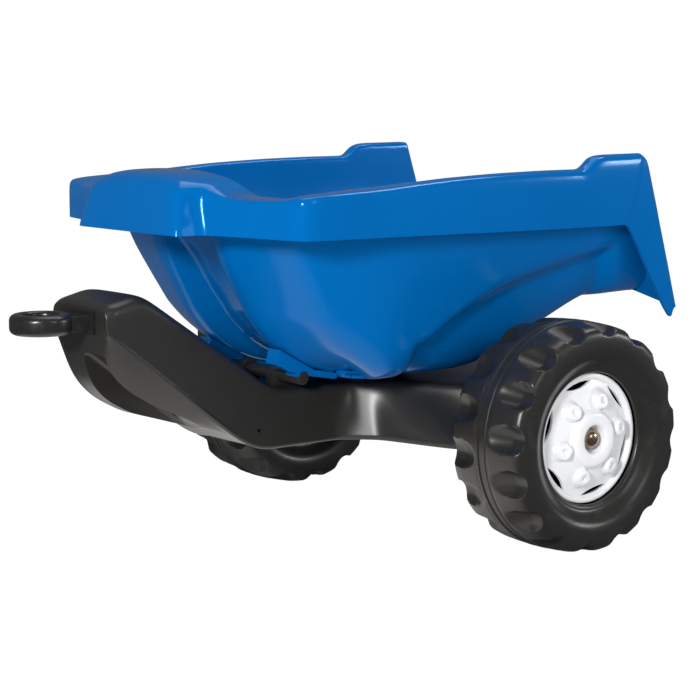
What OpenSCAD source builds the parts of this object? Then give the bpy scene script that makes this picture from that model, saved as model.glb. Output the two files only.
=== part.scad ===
// Single-axle tipping trailer for a ride-on toy tractor.
// The ground is z = 0, +Y points to the tail and the hitch eye is at -Y.

/* [Overall] */
// Distance from the axle forward to the tip of the hitch eye
hitch_reach = 406; // [396:1:426]
// Height of the hitch eye's middle above the ground
hitch_height = 198; // [190:1:206]
// Distance from the axle back to the lowest tip of the tub
tail_reach = 163; // [155:1:171]

/* [Wheels] */
// Diameter over the tread
wheel_d = 190; // [182:1:198]
// Width of a tyre
tyre_w = 80; // [74:1:86]
// Distance between the middle planes of the two wheels
track = 380; // [372:1:396]
// Thickness of the tyre under the tread, lugs included
tread_wall = 10; // [9:0.5:13]
// Thickness of a tyre's side wall
side_wall = 4; // [3:0.5:5]
// Number of tread pockets on each shoulder
lug_count = 16; // [12:1:18]
// Depth of a tread pocket
lug_depth = 6; // [3:0.5:7]
// Width of a tread pocket
lug_gap_w = 19; // [14:0.5:21]
// Diameter of the rim's outer lip
rim_d = 107.6; // [100:0.2:114]
// Wall of the rim's barrel and face
rim_wall = 3.5; // [3:0.25:5]
// Number of wheel-nut bosses, and of slots between them
boss_count = 6; // [5:1:7]
// Diameter of the circle that the wheel-nut bosses stand on
boss_circle_d = 66; // [64:1:70]
// Diameter of the raised middle of the rim
nave_d = 46; // [40:1:48]
// Diameter of the bore that takes the wheel's bush
hub_bore_d = 19; // [17:0.5:21]

/* [Axle] */
// Diameter of the axle rod
axle_d = 12; // [10:0.5:13]
// Length of the bush in each end of the axle beam
axle_bush_len = 22; // [15:1:30]
// Outer diameter of the axle beam's bushes
axle_bush_d = 18; // [16:0.5:20]
// Thickness of the bushes' flanges
flange_t = 2; // [1.5:0.5:3]
// Diameter of the bushes' flanges
flange_d = 28; // [24:1:30]
// Thickness of a washer
washer_t = 1.6; // [1:0.2:2]
// Diameter of the cap on each end of the axle
cap_d = 17; // [15:0.5:18]

/* [Frame] */
// Wall of the moulded frame
frame_wall = 4; // [3:0.5:5]
// Width of the drawbar
neck_w = 84; // [76:1:90]
// Height of the deck above the axle
deck_rise = 37; // [34:1:38]
// Depth of the frame below the axle
frame_drop = 11; // [10:1:14]
// Distance from the axle to the rear edge of the axle beam
beam_back = 60; // [56:1:70]
// Distance from the axle forward to where the drawbar starts to rise
neck_break = 183; // [178:1:186]
// How far the underside of the drawbar bulges at its middle
keel_crown = 34; // [32:1:37]
// Width of the groove along the drawbar's underside
groove_w = 18; // [12:1:22]
// Depth of the groove
groove_depth = 8; // [4:1:9]
// Diameter of the vent hole in the drawbar's side
vent_d = 3.5; // [2:0.5:5]

/* [Hitch] */
// Bore of the hitch eye
eye_bore_d = 28; // [24:1:30]
// Outer diameter of the hitch eye
eye_d = 50; // [46:1:56]
// Thickness of the hitch eye
eye_t = 16; // [14:1:18]
// Length of shank that shows between the eye and the drawbar
shank_show = 9; // [6:1:12]
// Width of the shank
shank_w = 40; // [34:1:44]
// Thickness of the shank
shank_t = 12; // [10:0.5:14]
// Depth of the shank's socket in the drawbar
socket_depth = 26; // [22:1:30]

/* [Tub] */
// Wall of the tub
tub_wall = 3; // [2.5:0.25:4]
// Width over the rim band at the front
tub_w = 339; // [333:1:345]
// Width over the rim band at the tail
tail_w = 328; // [324:1:336]
// Distance from the axle forward to the front of the rim's hood
hood_reach = 304.5; // [298:0.5:310]
// Width of the hood
hood_w = 140; // [124:1:150]
// Height of the hood above the rim beside it
hood_rise = 22; // [14:1:26]
// Distance the rim band stands out from the tub's side
band_out = 17; // [14:0.5:18]
// Height of the band's lower edge above the axle
band_low = 171; // [166:1:175]
// Height of the rim above the axle at the front corners
rim_front = 199; // [196:1:204]
// Height of the rim above the axle in front of the tail's ears
rim_back = 218; // [212:1:222]
// Height of the tail's ears above the axle
ear_top = 226; // [223:1:232]
// Width of the flat part of the floor
floor_w = 236; // [220:1:240]
// Height of the floor's underside above the deck
floor_lift = 7; // [6:0.5:9]
// Angle at which the floor rises to the tail
ramp_angle = 27; // [24:0.5:28]
// Depth of the wheel-arch recess in the tub's sides
arch_depth = 11; // [6:1:13]
// Depth of the channel down the front wall
channel_depth = 16; // [12:0.5:18]
// Width of that channel
channel_w = 60; // [52:1:70]

/* [Tipping] */
// Distance from the axle back to the tub's pivot
pivot_back = 40; // [36:1:42]
// Height of the pivot above the deck
pivot_rise = 18; // [16.5:0.5:18.5]
// Diameter of the pivot rod
pivot_d = 8; // [6:0.5:9]
// Distance from the middle to the frame ears' inner face
ear_in = 58; // [50:1:64]
// Thickness of the frame ears and of the tub's lugs
ear_t = 10; // [8:0.5:12]
// Diameter of the bar that the tub's feet stand over
rest_bar_d = 11; // [10:0.5:12]
// Distance from the axle forward to that bar
rest_reach = 168; // [164:1:172]
// Distance from the middle to the inner face of a foot
foot_in = 40; // [36:1:44]
// Thickness of a foot
foot_t = 16; // [10:1:18]

/* [Fits] */
// Radial clearance of a turning fit
run_gap = 0.05; // [0.02:0.01:0.1]
// Radial clearance of a fixed fit
fix_gap = 0.02; // [0.01:0.01:0.03]
// Clearance between faces that pass or lie on each other
face_gap = 0.3; // [0.2:0.05:0.5]

/* [Hidden] */
$fn = 64;
arc_steps = 6;
far = 600;

black = "#1c1b1a";
blue = "#0a62b0";
white = "#f0f0f2";
steel = "#b9bcc0";
brass = "#a88850";

// The axle's place in the part's frame, with the origin under the middle of the length
axle_y = (hitch_reach - tail_reach) / 2;
axle_z = wheel_d / 2;
axle_r = axle_d / 2;
pivot_r = pivot_d / 2;

// Wheel sizes along the axle, from the wheel's middle plane outwards
rim_r = rim_d / 2;
tyre_half = tyre_w / 2;
dish_depth = 13.5;
rim_face_x = tyre_half - dish_depth;
bead_x = rim_face_x + 1.5;
hub_r = hub_bore_d / 2;
nave_r = nave_d / 2;
bead_r = rim_r + fix_gap;

// Stack along the axle, from the middle of the trailer outwards
beam_end = track / 2 - tyre_half - 5;
spacer_x = beam_end + flange_t;
hub_in_x = spacer_x + washer_t + face_gap;
hub_out_x = track / 2 + rim_face_x - dish_depth;
end_washer_x = hub_out_x + face_gap;
cap_x = end_washer_x + washer_t;
cap_len = 8.5;
axle_half = cap_x + cap_len - 3;

// Drawbar profile points, from the axle
hitch_z = hitch_height - axle_z;
eye_y = -(hitch_reach - eye_d / 2);
head_y = -(hitch_reach - eye_d - shank_show);
head_top = hitch_z + 13;
crest = [head_y + 34, hitch_z + 22];
crease_front = [head_y, hitch_z - 7];
crease_back = [-neck_break - 26, -frame_drop];
neck_half = neck_w / 2;
neck_end = -100;

// Deck outline points on +X, from the drawbar back to the axle beam
deck_front = [neck_half - 6, -130];
deck_bend = [neck_half - 6, -98];
deck_fan = [beam_end - 50, -74];
beam_corner = [beam_end, -53];

// Tub profile points, from the axle
floor_z = deck_rise + floor_lift;
ramp_start = -15;
ramp_end = 98;
ramp_z = floor_z + (ramp_end - ramp_start) * tan(ramp_angle);
front_y = -hood_reach + 54.5;
front_top = band_low - 5;
front_run = 70;
floor_front = front_y + front_run;
front_slope = (front_top - floor_z) / front_run;
tail_lean = 43;
tail_low = band_low - 81;
tail_top_y = tail_reach - tail_lean;
rim_half = tub_w / 2;
tail_half = tail_w / 2;
band_wing_y = -hood_reach + 25.5;
corner_y = -hood_reach + 51;
side_half = rim_half - band_out;
floor_half = floor_w / 2;
side_slope = (side_half - floor_half) / (band_low - floor_z);
arch_foot = [-106, band_low - 106];
arch_knee = [-86, band_low - 82];
arch_brow = [-17, band_low - 48];
arch_end = [ramp_end, band_low - 20];
corner_x = 50;
corner_half = 122;
corner_set = 19;
toe_run = 100;
channel_half = channel_w / 2;
channel_back = floor_front + 40;
hood_half = hood_w / 2;
pivot_z = deck_rise + pivot_rise;
rest_lift = 4;
rest_z = deck_rise + rest_lift + rest_bar_d / 2;

function unit(v) = v / norm(v);

// Edge normal on the left of the way from a to b
function left_of(a, b) = unit([a.y - b.y, b.x - a.x]);
function flat(p) = [p.x, p.y];
function radius_at(p) = len(p) > 2 ? p[2] : 0;

// Corners of an outline moved inwards by t, with the corner radii that go with it
function inset(corners, t) = [
    for (i = [0 : len(corners) - 1])
        let (
            n = len(corners),
            p = flat(corners[(i + n - 1) % n]),
            q = flat(corners[i]),
            r = flat(corners[(i + 1) % n]),
            a = left_of(p, q),
            b = left_of(q, r),
            m = q + t * (a + b) / (1 + a * b),
            old = radius_at(corners[i]),
            new = cross(q - p, r - q) > 0 ? old - t : old + t
        )
        [m.x, m.y, old > 0 ? max(new, 0) : 0]
];

function arc_at(p, q, r, radius) =
    let (
        u = unit(p - q),
        v = unit(r - q),
        half = acos(max(-1, min(1, u * v))) / 2,
        c = q + unit(u + v) * radius / sin(half),
        a = q + u * radius / tan(half) - c,
        b = q + v * radius / tan(half) - c,
        sweep = atan2(cross(a, b), a * b)
    )
    [for (i = [0 : arc_steps])
        let (w = sweep * i / arc_steps)
        c + [a.x * cos(w) - a.y * sin(w), a.x * sin(w) + a.y * cos(w)]];

// Points of an outline whose corners are [x, y, radius]
function rounded(corners) = [
    for (i = [0 : len(corners) - 1])
        let (
            n = len(corners),
            q = corners[i],
            p = flat(corners[(i + n - 1) % n]),
            r = flat(corners[(i + 1) % n])
        )
        each radius_at(q) > 0 ? arc_at(p, flat(q), r, q[2]) : [flat(q)]
];

// A half outline on +X, from front to back, joined to its mirror image
function both_sides(half) = concat(half,
    [for (i = [len(half) - 1 : -1 : 0]) [-half[i].x, half[i].y, radius_at(half[i])]]);

module at_axle() translate([0, axle_y, axle_z]) children();

// Extrudes an outline drawn in (y, z) from x0 to x1
module along_x(x0, x1) translate([x0, 0, 0]) rotate([90, 0, 90]) linear_extrude(x1 - x0) children();

// Extrudes an outline drawn in (x, z) from y0 to y1
module along_y(y0, y1) translate([0, y1, 0]) rotate([90, 0, 0]) linear_extrude(y1 - y0) children();

// A rod or ring along X
module rod_x(x0, x1, r) translate([x0, 0, 0]) rotate([0, 90, 0]) cylinder(h = x1 - x0, r = r);
module ring_x(x0, x1, r, bore) difference() {
    rod_x(x0, x1, r);
    rod_x(x0 - 1, x1 + 1, bore);
}

// One of a pair: side is 1 on the left (+X) and -1 on the right
module on_side(side) at_axle() mirror([side > 0 ? 0 : 1, 0, 0]) children();

// Frame

function keel_outline(t) = rounded(inset([
    [-neck_break - 17, -frame_drop, 60],
    [neck_end, -frame_drop],
    [neck_end, deck_rise],
    [-neck_break, deck_rise, 40],
    [crest.x, crest.y, 14],
    [head_y, head_top, 5],
    [head_y + 9, hitch_z - 73, 70]
], t));

// Section that crowns the drawbar's underside. It is wider than the drawbar, which its sides cut.
function neck_section(t) =
    let (
        half = neck_half + 2,
        crown_r = (half * half + keel_crown * keel_crown) / (2 * keel_crown),
        reach = asin(half / crown_r),
        steps = 12
    )
    concat(
        [for (i = [0 : steps])
            let (a = reach * (2 * i / steps - 1))
            [(crown_r - t) * sin(a), crown_r - keel_crown - (crown_r - t) * cos(a)]],
        [[neck_w, 0], [neck_w, far], [-neck_w, far], [-neck_w, 0]]
    );

// Drawbar: side profile, cut by the section that runs along its lower edges
module neck(t) {
    along = crease_back - crease_front;
    intersection() {
        along_x(-neck_half + t, neck_half - t) polygon(keel_outline(t));
        translate([0, crease_front.x, crease_front.y])
            rotate([atan2(along.y, along.x), 0, 0])
                along_y(-60, far) polygon(neck_section(t));
    }
}

function deck_outline(t) = rounded(inset(both_sides([
    deck_front,
    [deck_bend.x, deck_bend.y, 30],
    [deck_fan.x, deck_fan.y, 60],
    [beam_corner.x, beam_corner.y, 6],
    [beam_end, beam_back, 10]
]), t));

module deck(t, low, high) translate([0, 0, low]) linear_extrude(high - low) polygon(deck_outline(t));

module groove(grow) intersection() {
    difference() {
        along_x(-groove_w / 2 - grow, groove_w / 2 + grow) polygon(keel_outline(-2));
        along_x(-neck_half, neck_half) polygon(keel_outline(groove_depth + grow));
    }
    translate([-neck_half, head_y + 14 - grow, -frame_drop])
        cube([neck_w, 104 + 2 * grow, hitch_z - 30 + frame_drop]);
}

module chassis_frame() color(black) at_axle() {
    socket_end = head_y + socket_depth;
    screw_y = head_y + 11;
    saddle_x = foot_in - 14;
    difference() {
        union() {
            neck(0);
            deck(0, -frame_drop, deck_rise);
            // Tunnel for the axle across the beam
            rod_x(-beam_end, beam_end, axle_bush_d / 2 + frame_wall);
            // Ears for the pivot rod
            for (s = [-1, 1]) {
                translate([s > 0 ? ear_in : -ear_in - ear_t, pivot_back, pivot_z]) {
                    rod_x(0, ear_t, pivot_r + 6);
                    translate([0, -pivot_r - 6, -pivot_rise - 1]) cube([ear_t, pivot_d + 12, pivot_rise + 1]);
                }
                // Saddles for the rest bar
                translate([s > 0 ? saddle_x - 10 : -saddle_x, -rest_reach, rest_z]) {
                    rod_x(0, 10, rest_bar_d / 2 + 3);
                    translate([0, -rest_bar_d / 2 - 3, deck_rise - rest_z - 1])
                        cube([10, rest_bar_d + 6, rest_z - deck_rise + 1]);
                }
            }
        }
        // Hollow of the moulding, which breathes through the vent
        difference() {
            union() {
                intersection() {
                    neck(frame_wall);
                    translate([-far / 2, socket_end + frame_wall, -far / 2]) cube(far);
                }
                deck(frame_wall, frame_wall - frame_drop, deck_rise - frame_wall);
            }
            groove(frame_wall);
            rod_x(-beam_end, beam_end, axle_bush_d / 2 + frame_wall);
        }
        groove(0);
        // Bores for the axle and its bushes
        rod_x(-beam_end, beam_end, axle_r + 1.5);
        for (s = [-1, 1])
            mirror([s > 0 ? 0 : 1, 0, 0])
                rod_x(beam_end - axle_bush_len, beam_end + 1, axle_bush_d / 2 + fix_gap);
        // Pivot and rest bar bores
        translate([0, pivot_back, pivot_z]) rod_x(-far / 2, far / 2, pivot_r + fix_gap);
        translate([0, -rest_reach, rest_z]) rod_x(-foot_in, foot_in, rest_bar_d / 2 + fix_gap);
        // Socket for the hitch eye's shank, and its screw with a pocket from below
        translate([-shank_w / 2 - fix_gap, head_y - 1, hitch_z - shank_t / 2 - fix_gap])
            cube([shank_w + 2 * fix_gap, socket_depth + 1, shank_t + 2 * fix_gap]);
        translate([0, screw_y, hitch_z - 30]) cylinder(h = 30, r = 3 + fix_gap);
        translate([-7, head_y - 5, hitch_z - 36])
            cube([14, 24, 36 - shank_t / 2 - 8]);
        // Vent in the drawbar's left side
        translate([0, -neck_break - 20, 5]) rod_x(neck_half - frame_wall - 1, neck_half + 1, vent_d / 2);
    }
}

// Hitch

module hitch_eye() color(black) at_axle() {
    ring = eye_d / 2 - eye_bore_d / 2;
    difference() {
        union() {
            translate([0, eye_y, hitch_z])
                rotate_extrude()
                    translate([eye_bore_d / 2, -eye_t / 2])
                        polygon(rounded([[0, 0, 3], [ring, 0, 5], [ring, eye_t, 5], [0, eye_t, 3]]));
            difference() {
                union() {
                    translate([-shank_w / 2, eye_y, hitch_z - shank_t / 2])
                        cube([shank_w, head_y + socket_depth - face_gap - eye_y, shank_t]);
                    translate([-shank_w / 2 - 4, head_y - 3, hitch_z - shank_t / 2 - 3])
                        cube([shank_w + 8, 3, shank_t + 6]);
                }
                translate([0, eye_y, hitch_z - eye_t]) cylinder(h = 2 * eye_t, r = eye_d / 2 - ring / 2);
            }
        }
        translate([0, head_y + 11, hitch_z - shank_t]) cylinder(h = shank_t + 4, r = 3 + fix_gap);
    }
}

module hitch_screw() color(steel) at_axle()
    translate([0, head_y + 11, hitch_z - shank_t / 2 - 8]) {
        translate([0, 0, -4]) cylinder(h = 4, r = 5);
        cylinder(h = 8 + shank_t / 2 + 3, r = 3);
    }

// Axle and its bushes

module axle() color(steel) at_axle() rod_x(-axle_half, axle_half, axle_r);

module axle_bush(side) color(black) on_side(side) difference() {
    union() {
        rod_x(beam_end - axle_bush_len + face_gap, beam_end, axle_bush_d / 2);
        rod_x(beam_end, spacer_x, flange_d / 2);
    }
    rod_x(0, far, axle_r + fix_gap);
}

module spacer(side) color(steel) on_side(side) ring_x(spacer_x, spacer_x + washer_t, flange_d / 2 - 2, axle_r + fix_gap);

module end_washer(side) color(steel) on_side(side)
    ring_x(end_washer_x, cap_x, cap_d / 2 + 0.4, axle_r + fix_gap);

module axle_cap(side) color(brass) on_side(side) translate([cap_x, 0, 0]) difference() {
    rotate([90, 0, 90]) rotate_extrude()
        polygon(rounded([[0, 0], [cap_d / 2, 0], [cap_d / 2, cap_len, cap_d / 4], [0, cap_len]]));
    rod_x(-1, cap_len - 3, axle_r + fix_gap);
}

// Wheels

// One tread pocket: a round-ended notch that is open to the side
module lug_gap() translate([0, 0, wheel_d / 2 - lug_depth]) {
    pocket_end = tyre_half - 20;
    translate([pocket_end, 0, 0]) cylinder(h = lug_depth + 5, r = lug_gap_w / 2);
    translate([pocket_end, -lug_gap_w / 2, 0]) cube([tyre_half, lug_gap_w, lug_depth + 5]);
}

module tyre(side) color(black) on_side(side) translate([track / 2, 0, 0]) {
    crown_r = wheel_d / 2;
    shoulder = crown_r - 12;
    hollow = tyre_half - side_wall;
    outer = [[bead_r, -bead_x], [shoulder - 18, -tyre_half, 14], [shoulder, -tyre_half, 10],
        [crown_r - 2, -tyre_half + 12, 8], [crown_r, -6], [crown_r, 6], [crown_r - 2, tyre_half - 12, 8],
        [shoulder, tyre_half, 10], [shoulder - 18, tyre_half, 14], [bead_r, bead_x]];
    cavity = [[bead_r - 1, side_wall / 2], [crown_r - tread_wall, side_wall / 2],
        [crown_r - tread_wall, hollow - 10, 4], [shoulder - tread_wall, hollow, 6], [shoulder - 18, hollow, 8],
        [bead_r + 6, bead_x - side_wall - 2], [bead_r - 1, bead_x - side_wall - 2]];
    difference() {
        rotate([90, 0, 90]) rotate_extrude() polygon(rounded(outer));
        for (s = [-1, 1])
            mirror([s > 0 ? 0 : 1, 0, 0]) {
                rotate([90, 0, 90]) rotate_extrude() polygon(rounded(cavity));
                for (i = [0 : lug_count - 1])
                    rotate([(i + (s > 0 ? 0 : 0.5)) * 360 / lug_count, 0, 0]) lug_gap();
            }
    }
}

module rim(side) color(white) on_side(side) translate([track / 2, 0, 0]) {
    plate = rim_face_x - 4;
    boss_r = 8;
    boss_turn = -15;
    slot_edge = rim_r - 2 * rim_wall + 0.5;
    slot_centre = 1.58 * rim_r;
    slot_arc = slot_centre - slot_edge + 4.8;
    difference() {
        union() {
            ring_x(0, rim_face_x, rim_r, rim_r - rim_wall);
            rod_x(plate - rim_wall, plate, rim_r - 0.5);
            rod_x(0, rim_face_x - 2, nave_r);
            for (i = [0 : boss_count - 1])
                rotate([boss_turn + i * 360 / boss_count, 0, 0])
                    translate([plate - 1, 0, boss_circle_d / 2])
                        rotate([0, 90, 0]) cylinder(h = 5, r1 = boss_r, r2 = boss_r - 2);
        }
        rod_x(-1, far, hub_r + fix_gap);
        // Lens-shaped slots near the lip
        for (i = [0 : boss_count - 1])
            rotate([boss_turn + (i + 0.5) * 360 / boss_count, 0, 0])
                intersection() {
                    rod_x(plate - rim_wall - 1, plate + 1, slot_edge);
                    translate([0, 0, slot_centre]) rod_x(plate - rim_wall - 1, plate + 1, slot_arc);
                }
    }
}

module inner_disc(side) color(black) on_side(side) translate([track / 2, 0, 0]) {
    hub_flange_x = hub_in_x + flange_t - track / 2;
    difference() {
        union() {
            ring_x(-rim_face_x, -face_gap, rim_r, rim_r - rim_wall);
            rod_x(-rim_face_x, -rim_face_x + rim_wall, rim_r - 0.5);
            rod_x(hub_flange_x, -face_gap, hub_r + 5);
        }
        rod_x(-far, far, hub_r + fix_gap);
    }
}

module hub_bush(side) color("#d8d4c8") on_side(side) difference() {
    union() {
        rod_x(hub_in_x, hub_in_x + flange_t, flange_d / 2);
        rod_x(hub_in_x, hub_out_x, hub_r);
    }
    rod_x(0, far, axle_r + run_gap);
}

// Tub

function body_outline(t) = rounded(inset([
    [floor_front, floor_z, 100],
    [ramp_start, floor_z, 40],
    [ramp_end, ramp_z, 20],
    [tail_reach - 4, ramp_z],
    [tail_reach + 30 - 4, ramp_z],
    [tail_reach + 30, ear_top + 30],
    [front_y, ear_top + 30],
    [front_y, front_top, 10]
], t));

// Section across the tub. The arch is the same section with its sides moved in and no floor.
function section_outline(in, floor, t) = rounded(inset(both_sides([
    [side_half - in - side_slope * (band_low - floor), floor, floor > 0 ? 22 : 0],
    [side_half - in, band_low],
    [side_half + 2 - in, ear_top + 30]
]), t));

function arch_outline(t) = rounded(inset([
    [arch_foot.x, 0],
    [arch_end.x, 0],
    [arch_end.x, arch_end.y, 12],
    [arch_brow.x, arch_brow.y, 150],
    [arch_knee.x, arch_knee.y, 60],
    [arch_foot.x, arch_foot.y, 20]
], -t));

// Plan of the front corners, square to the sloping front wall
function corner_outline(t) = rounded(inset(both_sides([
    [corner_x, 0, 25],
    [corner_half, corner_set, 30],
    [side_half + 4, toe_run, 80],
    [side_half + 4, far]
]), t));

// The tub's inside or outside form: t is the distance in from the outer face
module body(t) {
    difference() {
        intersection() {
            along_x(-far / 2, far / 2) polygon(body_outline(t));
            along_y(-far, far) polygon(section_outline(0, floor_z, t));
            translate([0, front_y, front_top])
                rotate([atan(1 / front_slope), 0, 0])
                    translate([0, 0, -far])
                        linear_extrude(2 * far) polygon(corner_outline(t));
        }
        for (s = [-1, 1])
            difference() {
                along_x(s > 0 ? 0 : -far / 2, s > 0 ? far / 2 : 0) polygon(arch_outline(t));
                along_y(-far, far) polygon(section_outline(arch_depth, -far / 4, t));
            }
        // Channel down the front wall
        difference() {
            along_y(-far, channel_back + t) translate([-channel_half - t, -far / 2])
                square([channel_w + 2 * t, 2 * far]);
            along_x(-far / 2, far / 2) polygon(body_outline(channel_depth + t));
        }
    }
}

function plan_outline(t) = rounded(inset(both_sides([
    [hood_half, -hood_reach, 12],
    [hood_half, band_wing_y, 6],
    [rim_half, corner_y, 14],
    [tail_half, tail_reach + 20]
]), t));

// Side view of the rim band and the tail's cheeks: low is how far it is opened downwards
function band_outline(t, low) =
    let (closed = [
        [-hood_reach - 10, band_low - low],
        [tail_top_y - 28 - low, band_low - low, 10],
        [tail_reach - 24 - low, tail_low + 12 - low],
        [tail_reach - 12, tail_low - 6 - low],
        [tail_reach, tail_low],
        [tail_top_y, ear_top, 14],
        [tail_top_y - 55, ear_top + 1, 8],
        [tail_top_y - 70, rim_back, 8],
        [-106, (rim_front + rim_back) / 2 + 2, 300],
        [-hood_reach + 50, rim_front, 60],
        [-hood_reach - 10, rim_front - 2]
    ])
    rounded(inset(closed, t));

module rim_band(t, low) intersection() {
    translate([0, 0, -far / 2]) linear_extrude(far) polygon(plan_outline(t));
    along_x(-far / 2, far / 2) polygon(band_outline(t, low));
}

module hood(t, low) intersection() {
    translate([0, 0, -far / 2]) linear_extrude(far) polygon(plan_outline(t));
    along_y(-far, front_y + 20) polygon(rounded(inset([
        [-hood_half - 14, band_low - low], [hood_half + 14, band_low - low], [hood_half + 14, rim_front],
        [hood_half - 12, rim_front + hood_rise, 16], [-hood_half + 12, rim_front + hood_rise, 16],
        [-hood_half - 14, rim_front]], t)));
    along_x(-far / 2, far / 2) polygon(rounded(inset([
        [-hood_reach, band_low - low], [front_y + 40, band_low - low],
        [front_y + 40, rim_front + hood_rise - 3], [-hood_reach, rim_front + hood_rise, 14]], t)));
}

module tub() color(blue) at_axle() {
    lug_x = ear_in + ear_t + face_gap;
    foot_back = -rest_reach + 40;
    toe_lift = 15;
    heel_lift = 5;
    difference() {
        union() {
            intersection() {
                body(0);
                union() {
                    hood(0, 0);
                    along_x(-far / 2, far / 2) polygon(band_outline(0, band_low - floor_z + 10));
                }
            }
            rim_band(0, 0);
            hood(0, 0);
            for (s = [-1, 1]) {
                // Feet over the rest bar
                along_x(s > 0 ? foot_in : -foot_in - foot_t, s > 0 ? foot_in + foot_t : -foot_in) difference() {
                    polygon([[-rest_reach - 14, deck_rise + toe_lift], [foot_back - 8, deck_rise + heel_lift],
                        [foot_back, floor_z + 1], [foot_back, floor_z + tub_wall],
                        [-rest_reach - 10, floor_z + 25], [-rest_reach - 20, floor_z + 28]]);
                    translate([-rest_reach, rest_z]) circle(r = rest_bar_d / 2 + face_gap);
                    translate([-rest_reach - rest_bar_d / 2 - face_gap, 0])
                        square([rest_bar_d + 2 * face_gap, rest_z]);
                }
                // Lugs for the pivot
                translate([s > 0 ? lug_x : -lug_x - ear_t, pivot_back, pivot_z]) {
                    rod_x(0, ear_t, pivot_r + 6);
                    translate([0, -pivot_r - 6, 0]) cube([ear_t, pivot_d + 12, pivot_rise + 12]);
                }
            }
        }
        difference() {
            union() {
                rim_band(tub_wall, 30);
                hood(tub_wall, 30);
            }
            body(0);
        }
        body(tub_wall);
        // The tail's lip ends above the cheeks' tips
        translate([-tail_half + tub_wall + 1, tail_reach - 40, tail_low - 20])
            cube([tail_w - 2 * tub_wall - 2, 60, 24]);
        translate([0, pivot_back, pivot_z]) rod_x(-far / 2, far / 2, pivot_r + 1.5 + fix_gap);
        // The floor's front bend clears the rest bar
        translate([0, -rest_reach, rest_z])
            rod_x(-foot_in - foot_t - 1, foot_in + foot_t + 1, rest_bar_d / 2 + face_gap);
    }
}

// Pivot

module pivot_rod() color(steel) at_axle() translate([0, pivot_back, pivot_z]) {
    half = ear_in + 2 * ear_t + 2 * face_gap + 4;
    rod_x(-half, half, pivot_r);
}

module pivot_bush(side) color(white) on_side(side) translate([ear_in + ear_t + face_gap, pivot_back, pivot_z])
    ring_x(0, ear_t, pivot_r + 1.5, pivot_r + run_gap);

module pivot_cap(side) color(steel) on_side(side)
    translate([ear_in + 2 * ear_t + 2 * face_gap, pivot_back, pivot_z]) difference() {
        rod_x(0, 6, pivot_r + 4);
        rod_x(-1, 4, pivot_r + fix_gap);
    }

module rest_bar() color(black) at_axle() translate([0, -rest_reach, rest_z])
    rod_x(-foot_in - foot_t, foot_in + foot_t, rest_bar_d / 2);

chassis_frame();
hitch_eye();
hitch_screw();
axle();
axle_bush(1);  // axle_bush_left
axle_bush(-1);  // axle_bush_right
spacer(1);  // spacer_left
spacer(-1);  // spacer_right
tyre(1);  // tyre_left
tyre(-1);  // tyre_right
rim(1);  // rim_left
rim(-1);  // rim_right
inner_disc(1);  // inner_disc_left
inner_disc(-1);  // inner_disc_right
hub_bush(1);  // hub_bush_left
hub_bush(-1);  // hub_bush_right
end_washer(1);  // end_washer_left
end_washer(-1);  // end_washer_right
axle_cap(1);  // axle_cap_left
axle_cap(-1);  // axle_cap_right
tub();
pivot_rod();
pivot_bush(1);  // pivot_bush_left
pivot_bush(-1);  // pivot_bush_right
pivot_cap(1);  // pivot_cap_left
pivot_cap(-1);  // pivot_cap_right
rest_bar();
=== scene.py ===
import math

import bpy
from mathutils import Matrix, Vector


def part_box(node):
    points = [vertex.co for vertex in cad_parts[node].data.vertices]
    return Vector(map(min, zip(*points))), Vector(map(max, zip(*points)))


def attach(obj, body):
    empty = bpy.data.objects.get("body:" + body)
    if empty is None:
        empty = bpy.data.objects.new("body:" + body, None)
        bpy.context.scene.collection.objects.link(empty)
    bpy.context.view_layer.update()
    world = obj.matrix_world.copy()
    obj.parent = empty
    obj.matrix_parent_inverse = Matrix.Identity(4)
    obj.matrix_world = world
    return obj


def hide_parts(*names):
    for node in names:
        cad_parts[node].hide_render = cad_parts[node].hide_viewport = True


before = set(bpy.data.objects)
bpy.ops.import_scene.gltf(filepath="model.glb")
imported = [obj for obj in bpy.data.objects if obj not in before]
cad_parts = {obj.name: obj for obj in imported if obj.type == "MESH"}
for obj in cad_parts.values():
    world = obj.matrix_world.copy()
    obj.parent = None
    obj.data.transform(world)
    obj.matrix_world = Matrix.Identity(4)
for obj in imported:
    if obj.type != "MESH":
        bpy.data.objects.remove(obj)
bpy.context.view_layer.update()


# Frame
# The drawbar that fans out into the axle beam: one hollow blow moulding of black polyethylene.
# Its half sections are lofted along its length, mirrored and smoothed, and a slot and a vent are cut out.
# Ears for the tub's rod and saddles for the rest bar stand on its deck.
axle_low, axle_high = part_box("axle")
AXLE = (axle_low + axle_high) / 2


def place(x, y, z):
    """A point in metres from millimetres, measured from the middle of the axle."""
    return (x / 1000, AXLE.y + y / 1000, AXLE.z + z / 1000)


def pick(piece):
    """Selects one piece alone."""
    bpy.ops.object.select_all(action="DESELECT")
    piece.select_set(True)
    bpy.context.view_layer.objects.active = piece


def edit(piece, operation, **settings):
    """Runs one edit-mode operation on the whole mesh of a piece."""
    pick(piece)
    bpy.ops.object.mode_set(mode="EDIT")
    bpy.ops.mesh.select_all(action="SELECT")
    operation(**settings)
    bpy.ops.object.mode_set(mode="OBJECT")


def shape(piece, kind, **settings):
    """Adds a modifier and applies it."""
    modifier = piece.modifiers.new(kind.lower(), kind)
    for setting, value in settings.items():
        setattr(modifier, setting, value)
    pick(piece)
    bpy.ops.object.modifier_apply(modifier=modifier.name)


def cut(piece, cutter):
    """Cuts the shape of a cutter out of a piece, and removes the cutter."""
    shape(piece, "BOOLEAN", operation="DIFFERENCE", object=cutter)
    bpy.data.objects.remove(cutter)


def break_edges(piece):
    """Rounds the sharp edges of a small moulded plate."""
    shape(piece, "BEVEL", width=0.0008, segments=2, limit_method="ANGLE")


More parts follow.
